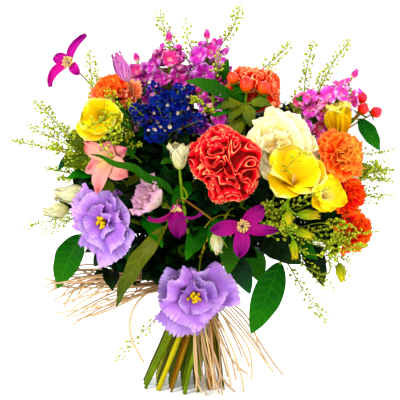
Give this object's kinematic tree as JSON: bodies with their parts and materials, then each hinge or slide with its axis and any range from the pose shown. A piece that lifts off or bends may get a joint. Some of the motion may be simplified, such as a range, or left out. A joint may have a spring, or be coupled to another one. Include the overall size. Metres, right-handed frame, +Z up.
{
  "type": "mixed flower bouquet",
  "caption": "Hand-tied mixed bouquet standing on its spiral of cut stems: a dome of ruffled, crested and spiked blooms, berries and pod wands over a raffia tie.",
  "frame": {"origin": "cut end of the middle stem, on the surface that the bunch stands on", "axes": "+Z up along the bunch, -Y towards the front that the picture shows, +X to its right"},
  "size_m": [0.4275, 0.3301, 0.4222],
  "materials": {
    "green_stem": "satin",
    "leaf_green": "satin",
    "pod_green": "matte",
    "berry_red": "gloss",
    "statice_blue": "matte",
    "stock_magenta": "matte",
    "clematis_magenta": "satin",
    "lisianthus_violet": "matte",
    "lisianthus_pale": "matte",
    "lisianthus_bud": "satin",
    "celosia_red": "matte",
    "celosia_coral": "matte",
    "carnation_cream": "matte",
    "carnation_orange": "matte",
    "carnation_red_orange": "matte",
    "carnation_coral": "matte",
    "freesia_yellow": "satin",
    "alstroemeria_salmon": "satin",
    "raffia": "matte"
  },
  "bodies": {
    "root": {"alstroemeria_back_bloom": "alstroemeria_salmon", "alstroemeria_back_stem": "green_stem", "alstroemeria_left_bloom": "alstroemeria_salmon", "alstroemeria_left_stem": "green_stem", "carnation_back_left_bloom": "carnation_orange", "carnation_back_right_bloom": "carnation_cream", "carnation_cream_back_bloom": "carnation_cream", "carnation_cream_back_stem": "green_stem", "carnation_cream_bloom": "carnation_cream", "carnation_cream_stem": "green_stem", "carnation_left_bloom": "carnation_coral", "carnation_right_low_bloom": "carnation_red_orange", "carnation_right_middle_bloom": "carnation_red_orange", "carnation_right_upper_bloom": "carnation_orange", "celosia_back_head": "celosia_red", "celosia_back_stem": "green_stem", "celosia_coral_head": "celosia_coral", "celosia_coral_stem": "green_stem", "celosia_red_head": "celosia_red", "celosia_red_stem": "green_stem", "clematis_front_stem": "clematis_magenta", "clematis_left_stem": "clematis_magenta", "foliage_back_stem": "leaf_green", "foliage_left_stem": "leaf_green", "foliage_right_stem": "leaf_green", "freesia_back_bloom": "freesia_yellow", "freesia_back_stem": "green_stem", "freesia_left_bloom": "freesia_yellow", "freesia_left_stem": "green_stem", "freesia_right_bloom": "freesia_yellow", "freesia_right_stem": "green_stem", "freesia_side_bloom": "freesia_yellow", "freesia_upper_bloom": "freesia_yellow", "freesia_upper_stem": "green_stem", "hypericum_right_stem": "berry_red", "hypericum_top_stem": "berry_red", "lisianthus_back_bloom": "lisianthus_violet", "lisianthus_back_stem": "green_stem", "lisianthus_bud_stem": "lisianthus_bud", "lisianthus_left_bloom": "lisianthus_violet", "lisianthus_left_stem": "green_stem", "lisianthus_low_bloom": "lisianthus_violet", "lisianthus_low_stem": "green_stem", "lisianthus_pale_bloom": "lisianthus_pale", "raffia_band": "raffia", "raffia_ends": "raffia", "spray_carnation_back_stem": "green_stem", "spray_carnation_left_stem": "green_stem", "spray_carnation_right_stem": "green_stem", "statice_back_stem": "statice_blue", "statice_stem": "statice_blue", "stock_back_stem": "stock_magenta", "stock_centre_stem": "stock_magenta", "stock_right_stem": "stock_magenta", "stock_top_left_stem": "stock_magenta", "stock_top_right_stem": "stock_magenta", "thlaspi_left": "pod_green", "thlaspi_low": "pod_green", "thlaspi_right": "pod_green", "thlaspi_top": "pod_green"}
  },
  "joints": []
}
